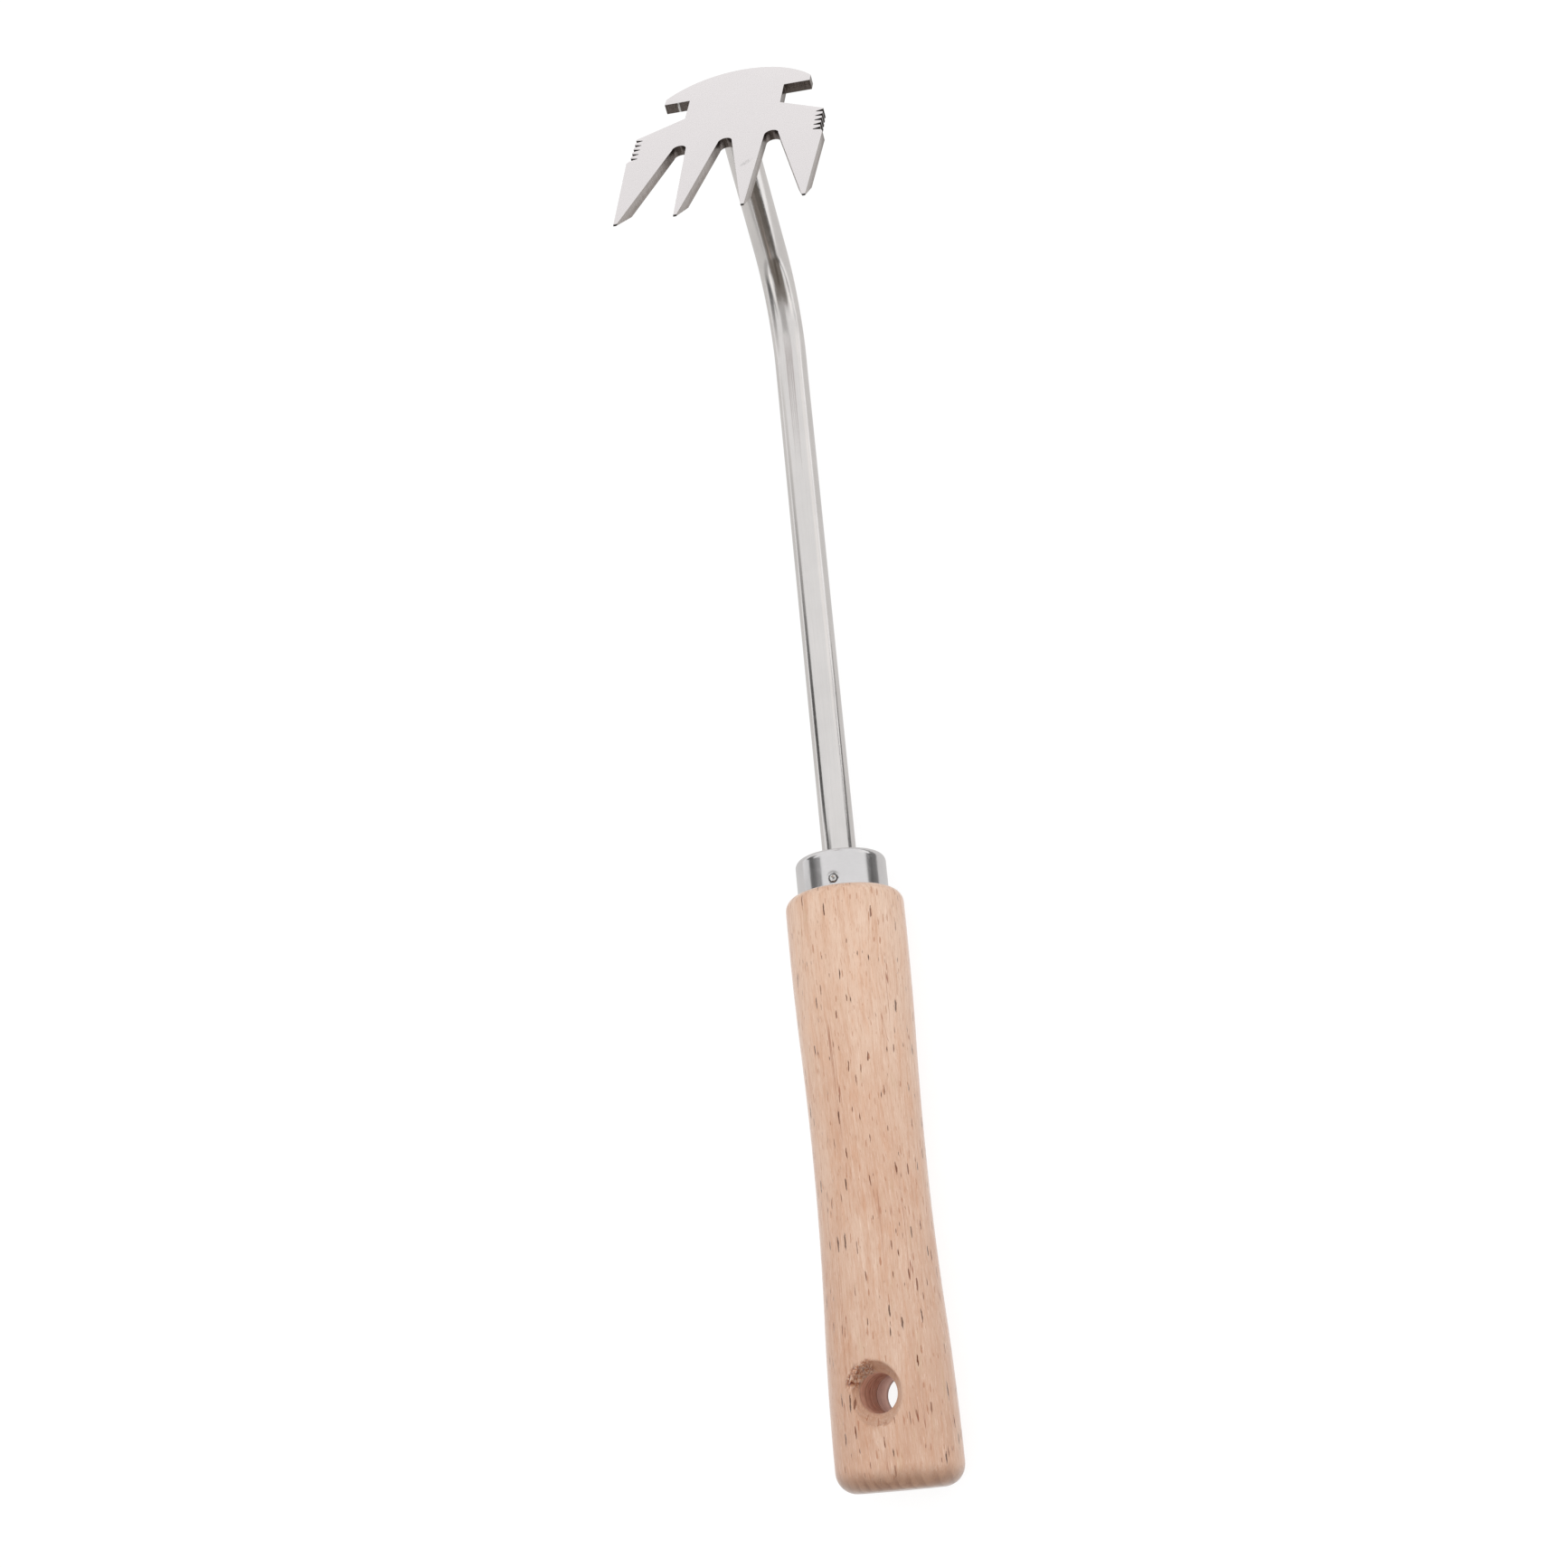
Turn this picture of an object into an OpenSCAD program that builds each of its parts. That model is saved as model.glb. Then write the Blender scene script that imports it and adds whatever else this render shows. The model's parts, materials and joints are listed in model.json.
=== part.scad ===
// Claw scraper on a cranked neck with a turned wooden handle.
// Millimetres. The handle's axis is +Y, towards the head. +Z is the hang hole's
// axis, on the side the teeth point to. The origin is the middle of the hang hole.

/* [Neck] */
// Diameter of the round bar that makes the neck and its tang
bar_d = 8; // [7:0.5:9]
// From the ferrule's mouth to the corner of the bend
neck_len = 146.7; // [110:0.1:180]
// From the corner of the bend to the toothed plate's outer face
arm_len = 54.5; // [46:0.5:70]
// How far the neck is cranked, in degrees
crank_angle = 61; // [50:1:75]
// Centre-line radius of the bend
bend_r = 28; // [20:1:34]
// Length of the tang inside the handle
tang_len = 60; // [45:1:75]
// How far the head is rolled round the handle's axis from the hang hole, in degrees
head_roll = 6; // [0:0.5:8]

/* [Toothed plate] */
// Sheet thickness
plate_t = 2.5; // [2:0.1:3]
// Width over the outer corners of the outer teeth
plate_w = 47.6; // [46:0.2:50]
// From the tooth tips to the top of the arch
plate_len = 66; // [64:0.5:68]
// From the tooth tips to the roots of the gaps
tooth_len = 32.4; // [31:0.2:33.6]
// Half the distance between the two inner tips
inner_tip_x = 7.9; // [7.4:0.1:8.4]
// Half the distance between the two outer tips
outer_tip_x = 22.1; // [21.6:0.1:22.6]
// Radius at the root of each gap
root_r = 1.7; // [1.4:0.1:1.9]
// Length of the bevel ground on the back of each tip
tip_bevel = 7; // [4:0.5:9]
// Half the width of the waist between the two side notches
waist_x = 11.8; // [11:0.1:12.5]
// Height of each side notch at its inner end
notch_h = 8.7; // [7.5:0.1:9.5]
// Half the width of the arched top over its two hooks
hat_x = 18.2; // [17.4:0.1:19]
// Number of cuts in each serrated corner
cuts = 5; // [3:1:5]
// Distance between two cuts
cut_pitch = 2.1; // [1.9:0.05:2.2]
// Depth of each cut
cut_depth = 1.5; // [1:0.1:2]
// How far the plate is turned on the end of the neck, in degrees
head_turn = 4.3; // [0:0.1:6]

/* [Weld] */
// Leg of the fillet weld, measured along the plate
weld_leg = 3; // [2:0.2:4]

/* [Ferrule] */
// Outer diameter of the ferrule
ferrule_d = 21.2; // [20:0.2:22]
// Exposed length of the ferrule
ferrule_len = 9; // [8:0.5:14]
// Wall of the ferrule
ferrule_wall = 0.8; // [0.6:0.1:1]
// Radius of the rolled edge at its mouth
ferrule_rim = 1.8; // [1.2:0.1:2.2]
// Diameter of the pin that holds the ferrule
pin_d = 2.1; // [1.6:0.1:2.4]
// Height of the pin's middle above the handle's shoulder
pin_rise = 1.6; // [1.5:0.1:4]
// How far the pin sits round the ferrule from the hang hole's side, in degrees
pin_turn = 5; // [-15:1:15]

/* [Handle] */
// From the butt to the shoulder under the ferrule
handle_len = 132.8; // [125:0.1:150]
// Diameter just below the shoulder
top_d = 27.6; // [27:0.1:29]
// Diameter at the waist
mid_d = 25.4; // [24:0.1:26]
// Largest diameter near the butt
butt_d = 28.2; // [27:0.1:30]
// Rounding of the butt's edge
butt_r = 4.8; // [2:0.1:6]
// From the hang hole's middle to the butt
hole_back = 20; // [16:0.5:24]
// Diameter of the hang hole
hole_d = 8.5; // [7:0.5:10]
// Diameter of the countersink where it meets the handle's crown
sink_d = 14.2; // [13:0.2:16]

/* [Output] */
// Node to draw

/* [Hidden] */
$fn = 96;
e = 0.01;
bar_r = bar_d / 2;
shoulder_y = handle_len - hole_back;
mouth_y = shoulder_y + ferrule_len;
bend_y = mouth_y + neck_len;
tangent = bend_r * tan(crank_angle / 2);
shoulder_r = 3;
spigot_r = ferrule_d / 2 - ferrule_wall;
tang_tip = 3;
// the bend is a hair thicker than the straight runs, which run a little way into it
swell = 0.02;
lap = 0.3;
// stations of the handle's outline
crown_y = shoulder_y - 6.5;
waist_y = crown_y - 59.3;
flare_y = -hole_back + 7;
// plate outline, measured up from the tips
side_y = tooth_len - 4.4;
corner_y = tooth_len + 6.7;
corner_x = 23;
cut_x = 22.8;
neck_top = plate_len - 11.7;
neck_low = neck_top - notch_h;
arch_r = 22.7;
foot_y = 43.2;
tip_half = 0.35;
tip_edge = 0.3;

// moves children from "bar end" axes, with +Y along the arm, to the tool's axes
module at_arm() {
    rotate([0, head_roll, 0])
        translate([0, bend_y, 0])
            rotate([crank_angle, 0, 0])
                children();
}

// half of the plate's outline, without its gaps
module half_outline() {
    intersection() {
        union() {
            polygon([
                [-e, 0], [outer_tip_x + tip_half, 0],
                [plate_w / 2, side_y], [cut_x + 0.25, side_y + 1.4],
                [corner_x, corner_y], [waist_x, neck_low], [waist_x, neck_top],
                [hat_x, neck_top], [hat_x, plate_len], [-e, plate_len]
            ]);
        }
        union() {
            translate([0, plate_len - arch_r]) circle(r = arch_r, $fn = 240);
            translate([-1, -1]) square([40, neck_low + 5]);
            translate([-1, 0]) square([hat_x - 1, neck_top + 1]);
            translate([hat_x - 1.2, neck_top + 1.2]) circle(r = 1.2);
            translate([hat_x - 3, neck_top]) square([3, 1.2]);
        }
    }
}

// gap between the two inner teeth
module middle_gap() {
    translate([0, tooth_len - root_r]) circle(r = root_r);
    polygon([
        [-inner_tip_x + tip_half, -e], [inner_tip_x - tip_half, -e],
        [root_r, tooth_len - root_r], [-root_r, tooth_len - root_r]
    ]);
}

// gap between an inner and an outer tooth
module side_gap() {
    g = 11.25;
    translate([g, tooth_len - root_r]) circle(r = root_r);
    polygon([
        [inner_tip_x + tip_half, -e], [outer_tip_x - tip_half, -e],
        [g + root_r, tooth_len - root_r], [g - root_r, tooth_len - root_r]
    ]);
}

module serration() {
    for (i = [0 : cuts - 1])
        translate([cut_x, corner_y - 1.15 - i * cut_pitch])
            polygon([[-cut_depth, -0.1], [3, -1.35], [3, 1.35], [-cut_depth, 0.1]]);
}

module plate_shape() {
    difference() {
        union() {
            half_outline();
            mirror([1, 0, 0]) half_outline();
        }
        middle_gap();
        side_gap();
        mirror([1, 0, 0]) side_gap();
        serration();
        mirror([1, 0, 0]) serration();
    }
}

module head_plate() {
    color([0.78, 0.78, 0.79])
        at_arm()
            translate([0, arm_len - plate_t, 0])
                rotate([-90, 0, 0])
                    rotate([0, 0, -head_turn])
                        translate([0, -(plate_len - 21.2), 0])
                            difference() {
                                linear_extrude(height = plate_t) plate_shape();
                                translate([0, tip_bevel, 0])
                                    rotate([-atan((plate_t - tip_edge) / tip_bevel), 0, 0])
                                        translate([-40, -30, -20])
                                            cube([80, 30, 20]);
                            }
}

module weld_bead() {
    color([0.6, 0.6, 0.61])
        at_arm()
            translate([0, arm_len - plate_t, 0])
                rotate([90, 0, 0])
                    rotate_extrude()
                        difference() {
                            polygon([[bar_r, 0], [bar_r + weld_leg, 0], [bar_r + weld_leg, 0.5],
                                     [bar_r + 0.5, weld_leg], [bar_r, weld_leg]]);
                            translate([bar_r + weld_leg + 1.2, weld_leg + 1.2])
                                circle(r = weld_leg + 0.3);
                        }
}

module neck_bar() {
    color([0.72, 0.72, 0.73])
        union() {
            // straight run with its tang
            translate([0, mouth_y - tang_len, 0])
                rotate([-90, 0, 0]) {
                    cylinder(r1 = bar_r - 1.6, r2 = bar_r, h = tang_tip);
                    translate([0, 0, tang_tip])
                        cylinder(r = bar_r, h = bend_y - tangent - (mouth_y - tang_len) - tang_tip + lap);
                }
            // bend
            rotate([0, head_roll, 0])
                translate([0, bend_y - tangent, bend_r])
                    rotate([0, 90, 0])
                        rotate_extrude(angle = crank_angle)
                            translate([bend_r, 0]) circle(r = bar_r + swell);
            // arm
            at_arm()
                translate([0, tangent - lap, 0])
                    rotate([-90, 0, 0])
                        cylinder(r = bar_r, h = arm_len - plate_t - tangent + lap);
        }
}

module ferrule() {
    r = ferrule_d / 2;
    color([0.85, 0.85, 0.87])
        difference() {
            translate([0, shoulder_y, 0])
                rotate([-90, 0, 0])
                    rotate_extrude()
                        difference() {
                            union() {
                                square([r, ferrule_len - ferrule_rim]);
                                square([r - ferrule_rim, ferrule_len]);
                                translate([r - ferrule_rim, ferrule_len - ferrule_rim])
                                    circle(r = ferrule_rim);
                            }
                            translate([-1, -1])
                                square([spigot_r + 1, ferrule_len - ferrule_rim + 1]);
                            translate([-1, -1])
                                square([r - ferrule_rim + 1, ferrule_len - ferrule_wall + 1]);
                            translate([r - ferrule_rim, ferrule_len - ferrule_rim])
                                circle(r = ferrule_rim - ferrule_wall);
                            translate([-1, -1]) square([bar_r + 1, ferrule_len + 2]);
                        }
            translate([0, shoulder_y + pin_rise, 0]) rotate([0, pin_turn, 0])
                cylinder(r = pin_d / 2, h = 20);
        }
}

module ferrule_pin() {
    color([0.7, 0.7, 0.72])
        translate([0, shoulder_y + pin_rise, 0]) rotate([0, pin_turn, 0])
            difference() {
                intersection() {
                    translate([0, 0, bar_r + 0.8]) cylinder(r = pin_d / 2, h = 20);
                    translate([0, 0, ferrule_d / 2 + 0.3 - 2.2]) sphere(r = 2.2);
                    translate([-5, -5, 0]) cube([10, 10, 20]);
                }
                translate([0, 0, ferrule_d / 2 + 0.7]) sphere(r = 0.75);
            }
    color([0.7, 0.7, 0.72])
        translate([0, shoulder_y + pin_rise, 0]) rotate([0, pin_turn, 0])
            translate([0, 0, bar_r + 0.8])
                cylinder(r = pin_d / 2, h = ferrule_d / 2 - 1.4 - bar_r - 0.8);
}

// half of the handle's outline: distance from the axis, then station along it
module handle_shape() {
    up = crown_y - waist_y;
    r1 = (up * up + pow((top_d - mid_d) / 2, 2)) / (2 * (top_d - mid_d));
    down = waist_y - flare_y;
    r2 = (down * down + pow((butt_d - mid_d) / 2, 2)) / (2 * (butt_d - mid_d));
    // shoulder
    translate([0, crown_y]) square([top_d / 2, shoulder_y - shoulder_r - crown_y]);
    translate([0, crown_y]) square([top_d / 2 - shoulder_r, shoulder_y - crown_y]);
    intersection() {
        translate([top_d / 2 - shoulder_r, shoulder_y - shoulder_r]) circle(r = shoulder_r);
        translate([top_d / 2 - shoulder_r - 1, crown_y]) square([10, 20]);
    }
    // crown to waist
    intersection() {
        translate([0, waist_y + up / 2]) square([20, up / 2]);
        translate([top_d / 2 - r1, crown_y]) circle(r = r1, $fn = 1800);
    }
    difference() {
        translate([0, waist_y]) square([20, up / 2]);
        translate([mid_d / 2 + r1, waist_y]) circle(r = r1, $fn = 1800);
    }
    // waist to flare
    difference() {
        translate([0, waist_y - down / 2]) square([20, down / 2]);
        translate([mid_d / 2 + r2, waist_y]) circle(r = r2, $fn = 1800);
    }
    intersection() {
        translate([0, flare_y]) square([20, down / 2]);
        translate([butt_d / 2 - r2, flare_y]) circle(r = r2, $fn = 1800);
    }
    // butt
    translate([0, -hole_back + butt_r]) square([butt_d / 2, flare_y + hole_back - butt_r]);
    translate([0, -hole_back]) square([butt_d / 2 - butt_r, flare_y + hole_back]);
    intersection() {
        translate([butt_d / 2 - butt_r, -hole_back + butt_r]) circle(r = butt_r);
        translate([butt_d / 2 - butt_r - 1, -hole_back - 1]) square([10, butt_r + 1.5]);
    }
}

module handle() {
    crown = butt_d / 2 + 0.2;
    run = (sink_d - hole_d) / 2;
    color([0.86, 0.71, 0.58])
        difference() {
            union() {
                rotate([-90, 0, 0]) rotate_extrude() handle_shape();
                // spigot under the ferrule
                translate([0, shoulder_y - 5, 0])
                    rotate([-90, 0, 0])
                        cylinder(r = spigot_r, h = 5 + ferrule_len - ferrule_rim);
                translate([0, shoulder_y, 0])
                    rotate([-90, 0, 0])
                        cylinder(r = ferrule_d / 2 - ferrule_rim, h = ferrule_len - ferrule_wall);
            }
            // blind bore for the tang
            translate([0, mouth_y - tang_len, 0])
                rotate([-90, 0, 0]) {
                    cylinder(r1 = bar_r - 1.6, r2 = bar_r, h = tang_tip);
                    translate([0, 0, tang_tip - e]) cylinder(r = bar_r, h = tang_len);
                }
            // hang hole with a countersink on each side
            translate([0, 0, -30]) cylinder(r = hole_d / 2, h = 60);
            for (s = [0, 180])
                rotate([0, s, 0])
                    translate([0, 0, crown - 0.35 - run])
                        cylinder(r1 = hole_d / 2, r2 = hole_d / 2 + run + 4, h = run + 4);
            // seat of the ferrule's pin
            translate([0, shoulder_y + pin_rise, 0]) rotate([0, pin_turn, 0])
                translate([0, 0, bar_r + 0.8]) cylinder(r = pin_d / 2, h = 20);
        }
}

head_plate();
weld_bead();
neck_bar();
ferrule();
ferrule_pin();
handle();
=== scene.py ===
"""Claw scraper with a cranked round neck, a drawn ferrule and a turned beech handle."""

import json
import math

import bmesh
import bpy
from mathutils import Matrix, Vector, noise

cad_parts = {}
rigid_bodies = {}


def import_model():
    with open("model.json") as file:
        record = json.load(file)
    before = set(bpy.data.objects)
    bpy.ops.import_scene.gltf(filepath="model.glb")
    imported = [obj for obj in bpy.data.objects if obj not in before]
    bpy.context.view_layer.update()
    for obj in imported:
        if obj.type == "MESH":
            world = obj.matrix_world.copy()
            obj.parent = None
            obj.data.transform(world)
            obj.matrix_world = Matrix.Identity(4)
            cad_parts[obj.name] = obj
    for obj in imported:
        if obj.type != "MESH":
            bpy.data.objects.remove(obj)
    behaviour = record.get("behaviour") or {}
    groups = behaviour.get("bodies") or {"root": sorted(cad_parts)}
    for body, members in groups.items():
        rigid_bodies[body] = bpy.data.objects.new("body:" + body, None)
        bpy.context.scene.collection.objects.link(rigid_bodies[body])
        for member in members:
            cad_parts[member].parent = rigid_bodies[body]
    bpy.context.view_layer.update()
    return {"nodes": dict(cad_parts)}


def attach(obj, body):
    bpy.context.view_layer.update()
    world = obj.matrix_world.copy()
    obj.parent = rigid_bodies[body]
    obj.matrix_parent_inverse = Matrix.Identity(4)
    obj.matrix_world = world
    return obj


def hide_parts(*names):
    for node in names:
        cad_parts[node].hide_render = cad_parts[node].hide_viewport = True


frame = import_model()
scene = bpy.context.scene
MM = 0.001

# ---------------------------------------------------------------- sizes, in mm

BAR_R = 4.0
BEND_R = 28.0
CRANK = math.radians(61)
ARM = 52.0
BEND_Y = 268.5
ROLL = math.radians(6)
TANG_Y = 61.8
SHOULDER_Y = 112.8
FERRULE_R = 10.6
FERRULE_TOP = 121.8
PIN_Y = 114.4
PIN_TURN = math.radians(5)
BUTT_Y = -20.0
BUTT_R = 4.8
BORE_R = 4.25
SINK_Z = 11.1

# A point of the plate: u across, v up from the tips, w from the back (0) to the front (2.5)
PLATE_M = (
    Matrix.Rotation(ROLL, 4, "Y")
    @ Matrix.Translation((0, BEND_Y, 0))
    @ Matrix.Rotation(CRANK, 4, "X")
    @ Matrix.Translation((0, ARM, 0))
    @ Matrix.Rotation(math.radians(-90), 4, "X")
    @ Matrix.Rotation(math.radians(-4.3), 4, "Z")
    @ Matrix.Translation((0, -44.8, 0))
)
# A point of the arm: x and z across it, y along it from the bend's corner
ARM_M = (
    Matrix.Rotation(ROLL, 4, "Y")
    @ Matrix.Translation((0, BEND_Y, 0))
    @ Matrix.Rotation(CRANK, 4, "X")
)


def smooth(a, b, x):
    t = min(1.0, max(0.0, (x - a) / (b - a)))
    return t * t * (3 - 2 * t)


# ---------------------------------------------------------------- mesh helpers


def make(name, verts, faces, materials, face_material=None, attributes=None, sharp=35):
    """A mesh object from points in mm. Edges sharper than the given angle stay crisp."""
    me = bpy.data.meshes.new(name)
    me.from_pydata([(v[0] * MM, v[1] * MM, v[2] * MM) for v in verts], [], faces)
    for m in materials:
        me.materials.append(m)
    if face_material:
        me.polygons.foreach_set("material_index", face_material)
    for key, values in (attributes or {}).items():
        me.attributes.new(key, "FLOAT", "POINT").data.foreach_set("value", values)
    me.validate()
    bm = bmesh.new()
    bm.from_mesh(me)
    bmesh.ops.recalc_face_normals(bm, faces=bm.faces)
    bm.to_mesh(me)
    bm.free()
    me.shade_smooth()
    me.set_sharp_from_angle(angle=math.radians(sharp))
    ob = bpy.data.objects.new(name, me)
    scene.collection.objects.link(ob)
    return ob


def tube_faces(rows, n, faces):
    """Quads between consecutive rings; a ring is a list of n vertex numbers, or one number for a pole."""
    for a, b in zip(rows, rows[1:]):
        if len(a) == 1:
            faces += [(a[0], b[(k + 1) % n], b[k]) for k in range(n)]
        elif len(b) == 1:
            faces += [(a[k], a[(k + 1) % n], b[0]) for k in range(n)]
        else:
            faces += [
                (a[k], a[(k + 1) % n], b[(k + 1) % n], b[k]) for k in range(n)
            ]


def arc(cx, cy, r, a0, a1, n):
    """Points (radius, height) of an arc, angles in degrees."""
    out = []
    for i in range(n + 1):
        a = math.radians(a0 + (a1 - a0) * i / n)
        out.append((cx + r * math.cos(a), cy + r * math.sin(a)))
    return out


# ---------------------------------------------------------------- node helpers


class Nodes:
    """A material with one Principled shader, and short calls that add nodes in front of it."""

    def __init__(self, name):
        self.mat = bpy.data.materials.new(name)
        self.mat.use_nodes = True
        self.tree = self.mat.node_tree
        self.tree.nodes.clear()
        out = self.tree.nodes.new("ShaderNodeOutputMaterial")
        self.bsdf = self.tree.nodes.new("ShaderNodeBsdfPrincipled")
        self.tree.links.new(self.bsdf.outputs[0], out.inputs[0])
        self.object = self.tree.nodes.new("ShaderNodeTexCoord").outputs["Object"]

    def set(self, **values):
        for key, v in values.items():
            self.bsdf.inputs[key.replace("_", " ")].default_value = v

    def link(self, value, node, index):
        if isinstance(value, bpy.types.NodeSocket):
            self.tree.links.new(value, node.inputs[index])
        elif value is not None:
            node.inputs[index].default_value = value

    def to(self, socket, key):
        self.tree.links.new(socket, self.bsdf.inputs[key])

    def mapping(self, scale, loc=(0, 0, 0), rot=(0, 0, 0), vec=None):
        n = self.tree.nodes.new("ShaderNodeMapping")
        self.tree.links.new(vec or self.object, n.inputs["Vector"])
        n.inputs["Location"].default_value = loc
        n.inputs["Rotation"].default_value = rot
        n.inputs["Scale"].default_value = scale
        return n.outputs[0]

    def noise(self, vec, scale=1.0, detail=3.0, rough=0.5, distortion=0.0, colour=False):
        n = self.tree.nodes.new("ShaderNodeTexNoise")
        self.tree.links.new(vec, n.inputs["Vector"])
        n.inputs["Scale"].default_value = scale
        n.inputs["Detail"].default_value = detail
        n.inputs["Roughness"].default_value = rough
        n.inputs["Distortion"].default_value = distortion
        return n.outputs["Color" if colour else "Fac"]

    def voronoi(self, vec, scale=1.0, randomness=1.0):
        n = self.tree.nodes.new("ShaderNodeTexVoronoi")
        self.tree.links.new(vec, n.inputs["Vector"])
        n.inputs["Scale"].default_value = scale
        n.inputs["Randomness"].default_value = randomness
        return n.outputs["Distance"], n.outputs["Color"]

    def math(self, op, a, b=None, c=None, clamp=False):
        n = self.tree.nodes.new("ShaderNodeMath")
        n.operation = op
        n.use_clamp = clamp
        for i, v in enumerate((a, b, c)):
            self.link(v, n, i)
        return n.outputs[0]

    def range(self, x, a, b, lo=0.0, hi=1.0, soft=True):
        n = self.tree.nodes.new("ShaderNodeMapRange")
        n.interpolation_type = "SMOOTHSTEP" if soft else "LINEAR"
        self.link(x, n, 0)
        for i, v in enumerate((a, b, lo, hi)):
            n.inputs[1 + i].default_value = v
        return n.outputs[0]

    def ramp(self, fac, stops):
        n = self.tree.nodes.new("ShaderNodeValToRGB")
        self.tree.links.new(fac, n.inputs[0])
        e = n.color_ramp.elements
        while len(e) < len(stops):
            e.new(0.5)
        for el, (pos, col) in zip(e, stops):
            el.position = pos
            el.color = (*col, 1)
        return n.outputs[0]

    def mix(self, fac, a, b, blend="MIX"):
        n = self.tree.nodes.new("ShaderNodeMix")
        n.data_type = "RGBA"
        n.blend_type = blend
        for socket, v in ((n.inputs[0], fac), (n.inputs[6], a), (n.inputs[7], b)):
            if isinstance(v, bpy.types.NodeSocket):
                self.tree.links.new(v, socket)
            else:
                socket.default_value = (*v, 1) if isinstance(v, tuple) else v
        return n.outputs[2]

    def split(self, vec):
        n = self.tree.nodes.new("ShaderNodeSeparateXYZ")
        self.tree.links.new(vec, n.inputs[0])
        return n.outputs

    def attribute(self, name):
        n = self.tree.nodes.new("ShaderNodeAttribute")
        n.attribute_name = name
        return n.outputs["Fac"]

    def bump(self, height, distance, strength=1.0, under=None):
        n = self.tree.nodes.new("ShaderNodeBump")
        n.inputs["Strength"].default_value = strength
        n.inputs["Distance"].default_value = distance
        self.tree.links.new(height, n.inputs["Height"])
        if under:
            self.tree.links.new(under, n.inputs["Normal"])
        return n.outputs[0]


def srgb(r, g, b):
    def lin(c):
        c /= 255
        return c / 12.92 if c <= 0.04045 else ((c + 0.055) / 1.055) ** 2.4

    return (lin(r), lin(g), lin(b))


# ---------------------------------------------------------------- materials


def steel(name, colour, rough, drawn, loc=(0, 0, 0), rot=(0, 0, 0), spread=0.05, marks=0.3, vary=0.08):
    """Bare steel. drawn scales the fine lines in mm: a small number runs along that axis."""
    n = Nodes(name)
    base = n.mapping((1000, 1000, 1000), loc, rot)
    lines = n.noise(n.mapping(drawn, vec=base), 1.0, 4, 0.6)
    cloud = n.noise(base, 0.09, 3, 0.55, 0.3)
    handled = n.noise(base, 0.45, 4, 0.65, 0.6)
    tone = n.math("MULTIPLY_ADD", cloud, 0.6, n.math("MULTIPLY", lines, 0.4))
    dark = tuple(c * (1 - vary) for c in colour)
    light = tuple(min(1.0, c * (1 + vary * 0.5)) for c in colour)
    n.to(n.ramp(tone, [(0.3, dark), (0.7, light)]), "Base Color")
    r = n.math("MULTIPLY_ADD", lines, spread, rough - spread * 0.5)
    r = n.math("MULTIPLY_ADD", n.range(handled, 0.45, 0.75), marks * rough, r)
    n.to(r, "Roughness")
    n.set(Metallic=1.0)
    n.to(n.bump(lines, 0.000004, min(0.5, vary * vary * 90), n.bump(cloud, 0.00006, 0.35)), "Normal")
    return n


plate_inverse = PLATE_M.inverted()
plate_rot = tuple(plate_inverse.to_euler("XYZ"))
plate_loc = tuple(plate_inverse.to_translation())

# The plate's ground face: fine lines along v, one small rub on the third tooth
face_steel = steel(
    "plate_face", (0.820, 0.784, 0.787), 0.27, (2.4, 0.12, 2.4), plate_loc, plate_rot, 0.03, 0.08, 0.012
)
n = face_steel
base = n.mapping((1000, 1000, 1000), plate_loc, plate_rot)
u, v, w = n.split(base)
du = n.math("ADD", u, -6.6)
dv = n.math("ADD", v, -19.0)
along = n.math("MULTIPLY_ADD", du, 0.62, n.math("MULTIPLY", dv, 0.78))
across = n.math("MULTIPLY_ADD", du, 0.78, n.math("MULTIPLY", dv, -0.62))
spot = n.math(
    "ADD",
    n.math("POWER", n.math("MULTIPLY", along, 0.42), 2.0),
    n.math("POWER", n.math("MULTIPLY", across, 1.1), 2.0),
)
rub = n.math(
    "MULTIPLY",
    n.range(spot, 1.0, 0.15),
    n.range(n.noise(n.mapping((2.6, 0.9, 2.6), vec=base), 1.0, 4, 0.7), 0.35, 0.62),
)
old = n.bsdf.inputs["Base Color"].links[0].from_socket
tipped = n.range(n.math("MULTIPLY_ADD", n.noise(base, 2.5, 2, 0.5), 0.3, v), 0.72, 0.42)
n.to(
    n.mix(tipped, n.mix(n.math("MULTIPLY", rub, 0.5), old, (0.45, 0.44, 0.44)), (0.07, 0.065, 0.06)),
    "Base Color",
)

# The sheared edges: a burnished strip by the front, a torn rougher zone behind it
edge_steel = Nodes("plate_edge")
n = edge_steel
base = n.mapping((1000, 1000, 1000), plate_loc, plate_rot)
u, v, w = n.split(base)
torn = n.range(n.math("MULTIPLY_ADD", n.noise(base, 0.9, 4, 0.6), 1.2, w), 2.3, 1.2)
streak = n.noise(n.mapping((3.2, 3.2, 0.35), vec=base), 1.0, 5, 0.65)
worn = n.ramp(streak, [(0.3, (0.42, 0.385, 0.37)), (0.7, (0.56, 0.52, 0.50))])
rough_zone = n.ramp(streak, [(0.3, (0.29, 0.255, 0.235)), (0.72, (0.50, 0.455, 0.43))])
colour = n.mix(torn, worn, rough_zone)
# roots and the undersides of the hooks are painted dark: painted shade on faces turned away from the light
scale = n.range(n.math("MULTIPLY_ADD", n.noise(base, 0.7, 3, 0.6), 3.0, v), 24.0, 30.5)
colour = n.mix(n.math("MULTIPLY", scale, 0.86), colour, n.ramp(streak, [(0.3, (0.13, 0.11, 0.10)), (0.7, (0.24, 0.205, 0.19))]))
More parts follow.
